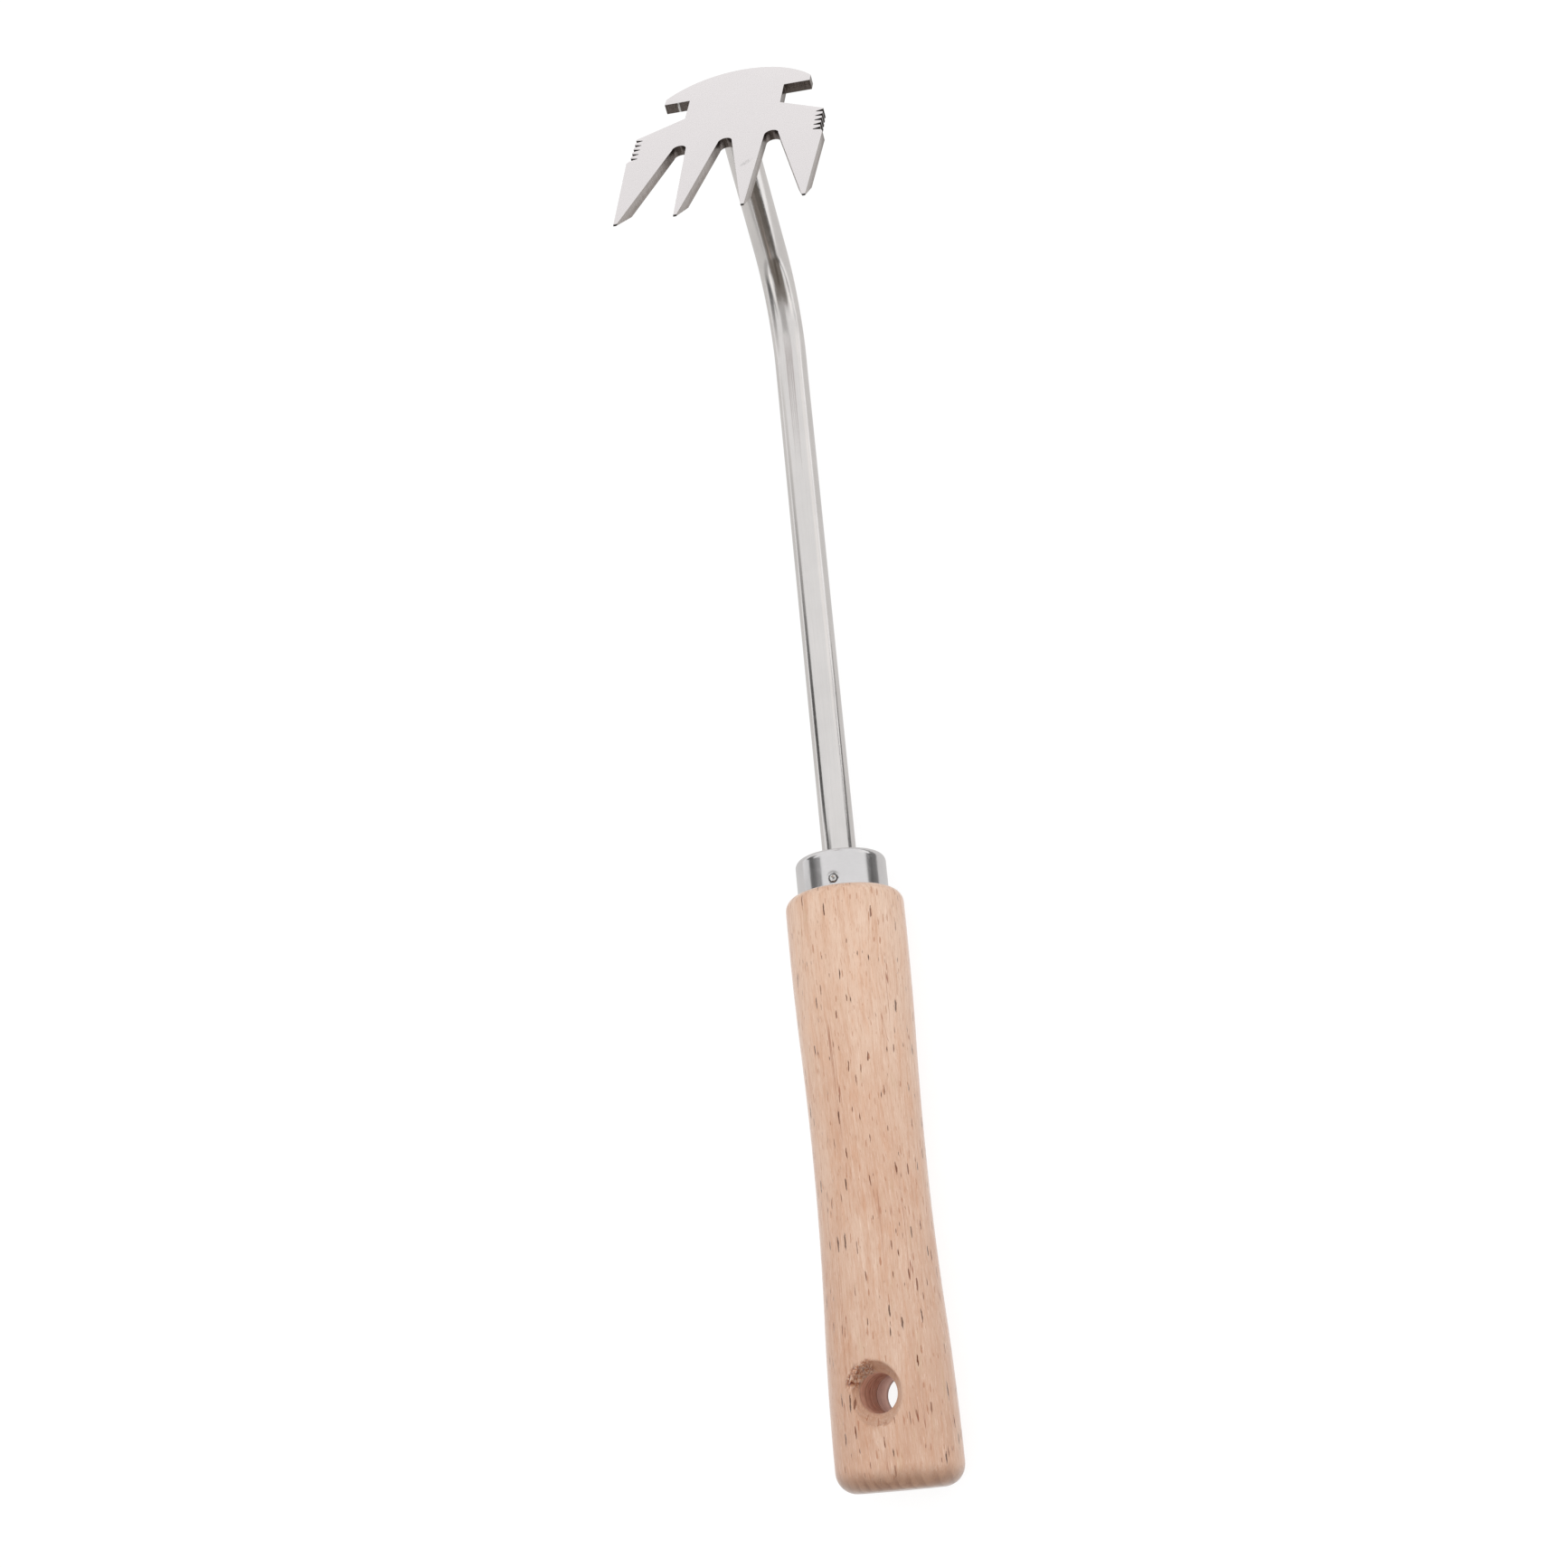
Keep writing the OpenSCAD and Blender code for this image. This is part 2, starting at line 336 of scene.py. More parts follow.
# the cuts of the two serrated corners are painted dark too: painted shade in the narrow slots
slot_shade = n.math("MULTIPLY", n.range(n.math("ABSOLUTE", u), 20.9, 21.3), n.math("MULTIPLY", n.range(v, 27.9, 28.7), n.range(v, 39.2, 38.7)))
colour = n.mix(n.math("MULTIPLY", slot_shade, 0.85), colour, (0.07, 0.062, 0.06))
tipped = n.range(n.math("MULTIPLY_ADD", n.noise(base, 2.5, 2, 0.5), 0.3, v), 0.95, 0.5)
colour = n.mix(tipped, colour, (0.07, 0.065, 0.06))
# a nick across the left hook's underside: a bumped groove, with a painted highlight in its colour
nick = n.math("ABSOLUTE", n.math("ADD", u, 14.8))
nick_highlight = n.math("MULTIPLY", n.range(nick, 0.34, 0.16), n.range(n.math("ABSOLUTE", n.math("ADD", v, -54.3)), 0.5, 0.3))
n.to(n.mix(nick_highlight, colour, (0.93, 0.92, 0.91)), "Base Color")
n.to(n.math("MULTIPLY_ADD", torn, 0.10, n.math("MULTIPLY_ADD", streak, 0.10, 0.20)), "Roughness")
n.set(Metallic=1.0)
groove = n.range(nick, 0.0, 0.5, soft=False)
n.to(n.bump(n.math("MULTIPLY", groove, n.range(n.math("ABSOLUTE", n.math("ADD", v, -54.3)), 0.5, 0.3)), 0.0004, 1.0, n.bump(streak, 0.00005, 0.6)), "Normal")

# The tooth ends: blunt and almost black
tip_steel = Nodes("plate_tip")
n = tip_steel
grit = n.noise(n.mapping((1000, 1000, 1000)), 3.0, 4, 0.6)
n.to(n.ramp(grit, [(0.3, (0.06, 0.055, 0.05)), (0.7, (0.16, 0.15, 0.145))]), "Base Color")
n.to(n.math("MULTIPLY_ADD", grit, 0.2, 0.35), "Roughness")
n.set(Metallic=1.0)

# Bright drawn bar
bar_steel = steel("bar", (0.80, 0.775, 0.762), 0.14, (6.0, 0.06, 6.0), spread=0.07, marks=0.35)

# the bend is scuffed where the bar was gripped and pulled round
n = bar_steel
x, y, z = n.split(n.mapping((1000, 1000, 1000)))
gripped = n.math("MULTIPLY", n.range(y, 248, 258), n.range(z, 14, 8))
n.to(n.math("MULTIPLY_ADD", gripped, 0.09, n.bsdf.inputs["Roughness"].links[0].from_socket), "Roughness")

# Nickel-plated ferrule, drawn from sheet
ferrule_steel = steel("ferrule", (0.80, 0.785, 0.79), 0.17, (0.9, 5.0, 0.9), spread=0.04, marks=0.3)
# a dark ring round the pin: painted shade where the punched sheet dips
n = ferrule_steel
base = n.mapping((1000, 1000, 1000), rot=(0, -PIN_TURN, 0))
x, y, z = n.split(base)
dy = n.math("ADD", y, -PIN_Y)
away = n.math("SQRT", n.math("ADD", n.math("MULTIPLY", x, x), n.math("MULTIPLY", dy, dy)))
ring = n.math("MULTIPLY", n.range(n.math("MULTIPLY_ADD", n.noise(base, 1.3, 3, 0.6), 0.9, away), 1.78, 1.42), n.range(z, 5.0, 7.0))
ring = n.math("MULTIPLY", ring, 0.85)
old = n.bsdf.inputs["Base Color"].links[0].from_socket
n.to(n.mix(ring, old, (0.10, 0.095, 0.09)), "Base Color")

pin_steel = steel("pin", (0.80, 0.79, 0.78), 0.16, (3.0, 3.0, 3.0), spread=0.06, marks=0.4)
n = pin_steel
base = n.mapping((1000, 1000, 1000), rot=(0, -PIN_TURN, 0))
x, y, z = n.split(base)
dy = n.math("ADD", y, -PIN_Y)
away = n.math("SQRT", n.math("ADD", n.math("MULTIPLY", x, x), n.math("MULTIPLY", dy, dy)))
old = n.bsdf.inputs["Base Color"].links[0].from_socket
# the rim of the head is painted dark: painted shade round the dome, leaving its centre bright
n.to(n.mix(n.range(n.math("MULTIPLY_ADD", n.noise(base, 1.6, 2, 0.6), 0.5, away), 0.96, 1.10), old, (0.11, 0.10, 0.095)), "Base Color")

# Weld metal: matt grey with a straw and blue tint towards its toes
weld_steel = Nodes("weld")
n = weld_steel
base = n.mapping((1000, 1000, 1000), tuple(ARM_M.inverted().to_translation()), tuple(ARM_M.inverted().to_euler("XYZ")))
x, y, z = n.split(base)
heat = n.math("MULTIPLY_ADD", n.noise(base, 0.8, 3, 0.6), 1.6, n.math("ADD", y, -50.4))
n.to(
    n.ramp(
        n.range(heat, -1.4, 2.4, soft=False),
        [(0.0, (0.42, 0.33, 0.20)), (0.25, (0.36, 0.26, 0.17)), (0.45, (0.30, 0.30, 0.34)),
         (0.7, (0.42, 0.41, 0.41)), (1.0, (0.50, 0.48, 0.45))],
    ),
    "Base Color",
)
grit = n.noise(base, 3.5, 4, 0.6)
n.to(n.math("MULTIPLY_ADD", grit, 0.25, 0.28), "Roughness")
n.set(Metallic=1.0)
n.to(n.bump(grit, 0.00005, 0.6), "Normal")


def beech():
    n = Nodes("beech")
    mm = n.mapping((1000, 1000, 1000))
    x, y, z = n.split(mm)

    # the grain wanders a little from the handle's axis
    wander = n.noise(n.mapping((0.05, 0.018, 0.05), (3.1, 0.7, 1.9), vec=mm), 1.0, 2, 0.5, colour=True)
    vm = n.tree.nodes.new("ShaderNodeVectorMath")
    vm.operation = "MULTIPLY_ADD"
    n.tree.links.new(wander, vm.inputs[0])
    vm.inputs[1].default_value = (3.2, 3.0, 3.2)
    n.tree.links.new(mm, vm.inputs[2])
    grain = n.mapping((1, 1, 1), (0, 0, 0), (0.0, 0.0, math.radians(-0.8)), vec=vm.outputs[0])

    # the same, unrolled round the axis: distance round, distance along
    gx, gy, gz = n.split(grain)
    round_ = n.math("MULTIPLY", n.math("ARCTAN2", gx, gz), 13.4)
    join = n.tree.nodes.new("ShaderNodeCombineXYZ")
    n.tree.links.new(round_, join.inputs[0])
    n.tree.links.new(gy, join.inputs[1])
    unrolled = join.outputs[0]

    # growth rings, faint
    ring_space = n.mapping((0.16, 0.004, 0.42), (2.0, 0.3, 8.0), (0, math.radians(14), 0), vec=grain)
    rings = n.noise(ring_space, 1.0, 2, 0.45, 0.5)
    ringy = n.math("FRACT", n.math("MULTIPLY", rings, 6.0))
    ring_dark = n.math("MULTIPLY", n.range(ringy, 0.45, 0.92), n.range(ringy, 1.0, 0.92))

    # colour patches, fibres, fine pores
    patch = n.noise(n.mapping((0.11, 0.028, 0.11), (5.0, 2.0, 1.0), vec=grain), 1.0, 4, 0.6, 0.4)
    blotch = n.noise(n.mapping((0.50, 0.10, 0.50), (1.0, 8.0, 4.0), vec=grain), 1.0, 4, 0.62, 0.5)
    fibre = n.noise(n.mapping((2.1, 0.12, 1.7), (0.3, 0.9, 0.1), vec=grain), 1.0, 5, 0.70)
    pore = n.noise(n.mapping((4.6, 0.42, 3.6), (7.0, 1.0, 2.0), vec=grain), 1.0, 3, 0.65)

    top = n.ramp(
        patch,
        [(0.28, srgb(206, 166, 141)), (0.46, srgb(216, 181, 157)), (0.60, srgb(221, 190, 168)), (0.78, srgb(226, 198, 177))],
    )
    low = n.ramp(
        patch,
        [(0.28, srgb(192, 152, 128)), (0.46, srgb(201, 164, 141)), (0.60, srgb(206, 172, 150)), (0.78, srgb(212, 181, 161))],
    )
    colour = n.mix(n.range(y, 100, 5, soft=False), top, low)
    orange = n.range(blotch, 0.50, 0.70)
    colour = n.mix(n.math("MULTIPLY", orange, 0.7), colour, (0.98, 0.88, 0.81), "MULTIPLY")
    grey = n.range(blotch, 0.42, 0.26)
    colour = n.mix(n.math("MULTIPLY", grey, 0.5), colour, srgb(204, 176, 148))
    colour = n.mix(n.math("MULTIPLY", ring_dark, 0.20), colour, srgb(190, 138, 104))
    colour = n.mix(n.math("MULTIPLY", n.range(fibre, 0.51, 0.70), 0.44), colour, srgb(190, 140, 110))
    colour = n.mix(n.math("MULTIPLY", n.range(fibre, 0.47, 0.30), 0.34), colour, srgb(238, 212, 194))
    colour = n.mix(n.math("MULTIPLY", n.range(pore, 0.53, 0.70), 0.40), colour, srgb(176, 126, 96))
    colour = n.mix(n.math("MULTIPLY", n.range(pore, 0.44, 0.30), 0.30), colour, srgb(242, 218, 201))

    # ray flecks: thin lenses along the axis, in three sizes
    jitter = n.noise(n.mapping((0.42, 0.12, 0.42), (2.0, 5.0, 1.0), vec=grain), 1.0, 3, 0.6, colour=True)
    wobble = n.tree.nodes.new("ShaderNodeVectorMath")
    wobble.operation = "MULTIPLY_ADD"
    n.tree.links.new(jitter, wobble.inputs[0])
    wobble.inputs[1].default_value = (0.9, 2.4, 0.0)
    n.tree.links.new(unrolled, wobble.inputs[2])
    thick = n.math("MULTIPLY_ADD", n.noise(n.mapping((3.5, 1.2, 3.5), (5.0, 1.0, 1.0), vec=grain), 1.0, 2, 0.5), 1.1, 0.45)

    def flecks(across, along, loc, size, keep):
        """Cells of 1/across by 1/along mm; a lens of up to size of a cell, in the share 1 - keep of them."""
        t = n.tree.nodes.new("ShaderNodeTexVoronoi")
        t.voronoi_dimensions = "2D"
        n.tree.links.new(n.mapping((across, along, 1), loc, vec=wobble.outputs[0]), t.inputs["Vector"])
        t.inputs["Scale"].default_value = 1.0
        t.inputs["Randomness"].default_value = 1.0
        r, g, b = n.split(t.outputs["Color"])
        limit = n.math("MULTIPLY", n.range(r, keep, 1.0, 0.0, size, soft=False), thick)
        inside = n.math("SUBTRACT", limit, t.outputs["Distance"])
        return n.range(inside, 0.0, size * 0.28), g

    soft_f, tone_s = flecks(1.05, 0.155, (4.0, 1.3, 0.0), 0.19, 0.15)
    colour = n.mix(n.math("MULTIPLY", soft_f, n.math("MULTIPLY_ADD", tone_s, 0.45, 0.25)), colour, srgb(164, 106, 74))
    mid_f, tone_m = flecks(0.74, 0.086, (9.0, 5.3, 0.0), 0.134, 0.25)
    colour = n.mix(n.math("MULTIPLY", mid_f, n.math("MULTIPLY_ADD", tone_m, 0.40, 0.6)), colour, srgb(108, 58, 32))
    dark_f, tone_d = flecks(0.50, 0.058, (1.7, 8.1, 0.0), 0.120, 0.34)
    colour = n.mix(n.math("MULTIPLY", dark_f, n.math("MULTIPLY_ADD", tone_d, 0.25, 0.75)), colour, srgb(70, 34, 16))

    # a few long thin lines
    stripe = n.noise(n.mapping((0.42, 0.007, 0.30), (6.0, 3.0, 2.0), vec=grain), 1.0, 2, 0.5)
    thin = n.range(n.math("ABSOLUTE", n.math("SUBTRACT", stripe, 0.455)), 0.0075, 0.001)
    where = n.range(n.noise(n.mapping((0.2, 0.022, 0.2), (2.0, 5.0, 9.0), vec=grain), 1.0, 2, 0.5), 0.52, 0.60)
    colour = n.mix(n.math("MULTIPLY", n.math("MULTIPLY", thin, where), 0.75), colour, srgb(140, 78, 52))

    # the butt darkens: partly end grain that soaks up more, partly painted shade on the rounding that turns down, away
    # from the light; torn fibres are darker still
    end = n.range(n.math("MULTIPLY_ADD", patch, 2.2, y), -13.6, -18.0)
    pit = n.tree.nodes.new("ShaderNodeTexVoronoi")
    n.tree.links.new(n.mapping((1.5, 0.35, 1.1), (2.0, 0.0, 1.0), vec=grain), pit.inputs["Vector"])
    speck = n.range(pit.outputs["Distance"], 0.38, 0.14)
    end_colour = n.mix(
        n.math("MULTIPLY", speck, 0.65),
        n.ramp(blotch, [(0.3, srgb(136, 100, 78)), (0.7, srgb(160, 124, 99))]),
        srgb(84, 50, 34),
    )
    # growth rings across the end, from a pith well outside the handle
    px = n.math("ADD", x, 24.0)
    pz = n.math("ADD", z, -8.0)
    pith = n.math("SQRT", n.math("ADD", n.math("MULTIPLY", px, px), n.math("MULTIPLY", pz, pz)))
    growth = n.math("FRACT", n.math("MULTIPLY_ADD", patch, 1.1, n.math("MULTIPLY", pith, 0.42)))
    late = n.math("MULTIPLY", n.range(growth, 0.35, 0.93), n.range(growth, 1.0, 0.94))
    end_colour = n.mix(n.math("MULTIPLY", late, 0.5), end_colour, srgb(112, 74, 52))
    colour = n.mix(n.math("MULTIPLY", end, 0.9), colour, end_colour)
    shoulder = n.range(y, SHOULDER_Y - 0.7, SHOULDER_Y + 0.1)
    colour = n.mix(n.math("MULTIPLY", shoulder, 0.5), colour, srgb(196, 150, 118))

    torn = n.attribute("torn")
    chunk = n.noise(n.mapping((1.45, 1.05, 1.45), (1.0, 2.0, 3.0), vec=mm), 1.0, 4, 0.65, 0.3)
    torn_colour = n.ramp(
        chunk,
        [(0.35, srgb(96, 38, 20)), (0.43, srgb(160, 100, 70)), (0.52, srgb(200, 150, 120)), (0.61, srgb(240, 206, 182))],
    )
    colour = n.mix(torn, colour, torn_colour)
    sink = n.attribute("sink")
    # the countersink is painted darker, most towards its upper side: painted shade in the recess
    upper = n.range(y, -1.0, 5.5)
    colour = n.mix(n.math("MULTIPLY", sink, n.math("MULTIPLY_ADD", upper, 0.55, 0.10)), colour, srgb(134, 86, 58))
    # the far countersink, seen through the bore, is painted paler: painted light coming in from the far side
    far = n.math("MULTIPLY", sink, n.range(z, -10.6, -11.4))
    colour = n.mix(n.math("MULTIPLY", far, 0.85), colour, srgb(232, 208, 198))
    n.to(colour, "Base Color")

    rough = n.math("MULTIPLY_ADD", fibre, 0.16, 0.42)
    rough = n.math("MULTIPLY_ADD", torn, 0.3, rough, clamp=True)
    n.to(rough, "Roughness")
    n.set(IOR=1.45)
    n.bsdf.inputs["Specular IOR Level"].default_value = 0.4
    n.bsdf.inputs["Sheen Weight"].default_value = 0.62
    n.bsdf.inputs["Sheen Roughness"].default_value = 0.32
    pits = n.math("MULTIPLY", n.math("ADD", n.math("MULTIPLY", mid_f, 0.6), dark_f), -1.0)
    first = n.bump(fibre, 0.00008, 0.6)
    second = n.bump(pore, 0.00005, 0.6, first)
    third = n.bump(pits, 0.00012, 0.7, second)
    n.to(n.bump(n.math("MULTIPLY", chunk, torn), 0.0008, 0.9, third), "Normal")
    return n


def raw_bore():
    """The drilled walls: scorched, unsanded and dry."""
    n = Nodes("beech_bore")
    mm = n.mapping((1000, 1000, 1000))
    x, y, z = n.split(mm)
    fibre = n.noise(n.mapping((0.9, 0.22, 1.2), vec=mm), 1.0, 5, 0.65)
    band = n.noise(n.mapping((0.05, 0.05, 0.9), (2.0, 1.0, 4.0), vec=mm), 1.0, 3, 0.6)
    colour = n.ramp(fibre, [(0.32, srgb(196, 146, 124)), (0.5, srgb(222, 176, 154)), (0.68, srgb(234, 196, 174))])
    colour = n.mix(n.math("MULTIPLY", n.range(band, 0.5, 0.62), 0.45), colour, srgb(158, 104, 84))
    # drilled from both sides: the halves meet in a ring, its dark line a painted shadow under the step; the far half is
    # painted paler, painted light coming in from the far end
    ring = n.math("MULTIPLY", n.range(z, -1.5, -2.0), n.range(z, -2.7, -2.2))
    colour = n.mix(n.math("MULTIPLY", n.range(z, -2.2, -2.7), 0.6), colour, srgb(232, 206, 198))
    colour = n.mix(n.math("MULTIPLY", ring, 0.8), colour, srgb(112, 66, 50))
    colour = n.mix(n.math("MULTIPLY", n.range(z, -9.6, -10.8), 0.8), colour, srgb(120, 92, 86))
    n.to(colour, "Base Color")
    n.to(n.math("MULTIPLY_ADD", fibre, 0.15, 0.8), "Roughness")
    n.bsdf.inputs["Specular IOR Level"].default_value = 0.2
    n.to(n.bump(fibre, 0.0002, 0.8), "Normal")
    return n


wood = beech()
bore_wood = raw_bore()

# ---------------------------------------------------------------- the head plate


def head_plate():
    """The stamped plate, from its CAD outline, with small rolled edges on the front and a burr-free back."""
    src = frame["nodes"]["head_plate"]
    bm = bmesh.new()
    bm.from_mesh(src.data)
    bmesh.ops.transform(bm, matrix=Matrix.Scale(1 / MM, 4), verts=bm.verts)
    bmesh.ops.remove_doubles(bm, verts=bm.verts, dist=0.0008)
    bmesh.ops.dissolve_degenerate(bm, dist=0.0005, edges=bm.edges)
    bmesh.ops.dissolve_limit(
        bm, angle_limit=math.radians(0.4), verts=bm.verts, edges=bm.edges, delimit=set()
    )
    bmesh.ops.recalc_face_normals(bm, faces=bm.faces)
    hard = [
        e for e in bm.edges
        if len(e.link_faces) == 2 and e.calc_face_angle(0) > math.radians(20)
    ]
    bmesh.ops.bevel(
        bm, geom=hard, offset=0.09, offset_type="OFFSET", segments=2, profile=0.5,
        affect="EDGES", clamp_overlap=True, miter_outer="SHARP", miter_inner="SHARP",
    )
    bmesh.ops.recalc_face_normals(bm, faces=bm.faces)
    inv = PLATE_M.inverted()
    front = (PLATE_M.to_3x3() @ Vector((0, 0, 1))).normalized()
    for f in bm.faces:
        flat = abs(f.normal.dot(front))
        c = inv @ f.calc_center_median()
        if flat > 0.6:
            f.material_index = 0
        else:
            f.material_index = 2 if c.y < 0.12 else 1
    bmesh.ops.triangulate(
        bm, faces=[f for f in bm.faces if len(f.verts) > 4], quad_method="BEAUTY", ngon_method="BEAUTY"
    )
    bmesh.ops.transform(bm, matrix=Matrix.Scale(MM, 4), verts=bm.verts)
    me = bpy.data.meshes.new("head_plate_body")
    bm.to_mesh(me)
    bm.free()
    for m in (face_steel.mat, edge_steel.mat, tip_steel.mat):
        me.materials.append(m)
    me.shade_smooth()
    me.set_sharp_from_angle(angle=math.radians(50))
    ob = bpy.data.objects.new("head_plate_body", me)
    scene.collection.objects.link(ob)
    wn = ob.modifiers.new("weighted", "WEIGHTED_NORMAL")
    wn.keep_sharp = True
    wn.weight = 100
    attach(ob, "root")
    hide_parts("head_plate")
    return ob


# ---------------------------------------------------------------- the neck


def neck():
    """One bar: tang, straight run, bend and arm, swept as rings along its centre line."""
    n = 96
    path = []  # point, direction, radius
    tangent = BEND_R * math.tan(CRANK / 2)
    y0, y1 = TANG_Y, BEND_Y - tangent
    forward = Vector((0, 1, 0))
    for t, r in ((0.0, 2.4), (0.06, 2.52), (1.0, 3.0), (2.0, 3.5), (2.9, 3.94), (3.1, 4.0)):
        path.append((Vector((0, y0 + t, 0)), forward, r))
    steps = 170
    for i in range(1, steps + 1):
        path.append((Vector((0, y0 + 3.1 + (y1 - y0 - 3.1) * i / steps, 0)), forward, BAR_R))
    bends = 84
    for i in range(1, bends + 1):
        a = CRANK * i / bends
        p = Vector((0, y1 + BEND_R * math.sin(a), BEND_R * (1 - math.cos(a))))
        path.append((p, Vector((0, math.cos(a), math.sin(a))), BAR_R))
    corner = Vector((0, BEND_Y, 0))
    along = Vector((0, math.cos(CRANK), math.sin(CRANK)))
    steps = 56
    for i in range(1, steps + 1):
        path.append((corner + along * (tangent + (ARM - tangent) * i / steps), along, BAR_R))
    roll = Matrix.Rotation(ROLL, 3, "Y")
    verts, rows, faces = [], [], []
    verts.append(roll @ path[0][0])
    rows.append([0])
    bend_s = y1 - y0
    s, last = 0.0, path[0][0]
    for p, d, r in path:
        s += (p - last).length
        last = p
        side = Vector((1, 0, 0))
        up = side.cross(d).normalized()
        ring = []
        # the bar flattens a hair on the inside of the bend, and no drawn bar is dead true
        inb = smooth(bend_s - 4, bend_s + 10, s) * smooth(bend_s + 34, bend_s + 20, s)
        for k in range(n):
            a = 2 * math.pi * k / n
            q = r
            if r == BAR_R and 60 < s:
                q += 0.022 * (noise.noise(Vector((math.cos(a) * 0.8, s * 0.035, math.sin(a) * 0.8))))
                q -= 0.02
                q -= 0.10 * inb * max(0.0, math.sin(a)) ** 2
                q += 0.05 * inb * abs(math.cos(a)) ** 4
            ring.append(len(verts))
            verts.append(roll @ (p + side * (q * math.cos(a)) + up * (q * math.sin(a))))
        rows.append(ring)
    verts.append(roll @ path[-1][0])
    rows.append([len(verts) - 1])
    tube_faces(rows, n, faces)
    ob = make("neck_bar_swept", verts, faces, [bar_steel.mat])
    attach(ob, "root")
    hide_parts("neck_bar")
    return ob


# ---------------------------------------------------------------- the weld


def weld():
    """A stacked fillet: overlapping ripples laid round the arm against the plate's back."""
    n, leg = 288, 3.0
    prof = 18
    verts, faces, rows = [], [], []
    grid = []
    for k in range(n):
        a = 2 * math.pi * k / n
        col = []
        for j in range(prof + 1):
            t = j / prof
            # ripple fronts are arcs across the bead, so their phase shifts with t
            ph = a * 26 / (2 * math.pi) - 0.9 * (1 - (2 * t - 1) ** 2) + 0.25 * math.sin(3 * a)
            f = ph - math.floor(ph)
            ridge = (f ** 0.6) * (1 - smooth(0.82, 1.0, f)) - 0.35
            body = 4 * t * (1 - t)
            size = 1 + 0.05 * math.sin(2 * a + 0.7) + 0.04 * math.sin(5 * a)
            # from the plate's back (t=0) to the bar (t=1)
            r = BAR_R + leg * size * (1 - t) ** 1.28 - 0.02
            h = leg * size * t ** 1.28
            out = Vector((1, 1)).normalized() * (0.20 * ridge * body + 0.10 * body)
            rr = min(r + out.x, BAR_R + leg + 0.12)
            hh = h + out.y
            col.append((rr, hh, a))
        grid.append(col)
    for j in range(prof + 1):
        ring = []
        for k in range(n):
            rr, hh, a = grid[k][j]
            ring.append(len(verts))
            verts.append(ARM_M @ Vector((rr * math.cos(a), ARM - hh, rr * math.sin(a))))
        rows.append(ring)
    # close it through the bar, just under the bar's skin
    for h in (leg - 0.3, 0.0):
        ring = []
        for k in range(n):
            a = 2 * math.pi * k / n
            ring.append(len(verts))
            verts.append(ARM_M @ Vector((3.8 * math.cos(a), ARM - h, 3.8 * math.sin(a))))
        rows.append(ring)
    rows.append(rows[0])
    tube_faces(rows, n, faces)
    ob = make("weld_bead_rippled", verts, faces, [weld_steel.mat], sharp=60)
    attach(ob, "root")
    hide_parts("weld_bead")
    return ob


# ---------------------------------------------------------------- the ferrule and its pin


def ferrule():
    """A drawn cap: skirt, rolled shoulder, flat top with a turned-in mouth, and its inner wall."""
    n = 224
    prof = []  # radius, y
    prof += [(9.84, SHOULDER_Y + 0.12)]
    prof += arc(FERRULE_R - 0.14, SHOULDER_Y + 0.16, 0.14, -90, 0, 4)
    y = SHOULDER_Y + 0.30
    while y < FERRULE_TOP - 1.9:
        prof.append((FERRULE_R, y))
        y += 0.32
    prof += arc(FERRULE_R - 1.8, FERRULE_TOP - 1.8, 1.8, 0, 90, 20)
    for r in (8.2, 7.4, 6.4, 5.4, 4.7):
        prof.append((r, FERRULE_TOP))
    prof += arc(4.42, FERRULE_TOP - 0.36, 0.36, 90, 180, 6)
    prof.append((4.06, FERRULE_TOP - 0.78))
    prof.append((8.8, FERRULE_TOP - 0.8))
    prof += arc(FERRULE_R - 1.8, FERRULE_TOP - 1.8, 1.0, 85, 0, 8)[1:]
    prof.append((9.8, SHOULDER_Y + 4))
    prof.append((9.8, SHOULDER_Y + 0.2))
    verts, rows, faces = [], [], []
    for r, yy in prof:
        ring = []
        for k in range(n):
            a = 2 * math.pi * k / n
            q = r
            x, z = q * math.cos(a), q * math.sin(a)
            if r > 10.0 and yy < FERRULE_TOP - 1.7 and z > 0:
                # the pin's punch leaves a shallow ring of pushed-in sheet
                d = math.hypot(x * math.cos(PIN_TURN) - z * math.sin(PIN_TURN), yy - PIN_Y)
                q -= 0.10 * math.exp(-((d - 1.15) / 0.45) ** 2) * smooth(SHOULDER_Y, SHOULDER_Y + 0.4, yy)
            if 10.0 < r or yy > FERRULE_TOP - 0.5:
                q += 0.012 * noise.noise(Vector((math.cos(a) * 1.3, yy * 0.25, math.sin(a) * 1.3)))
            ring.append(len(verts))
            verts.append((q * math.cos(a), yy, q * math.sin(a)))
        rows.append(ring)
    rows.append(rows[0])
    tube_faces(rows, n, faces)
    ob = make("ferrule_drawn", verts, faces, [ferrule_steel.mat], sharp=50)
    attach(ob, "root")
    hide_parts("ferrule")
    return ob


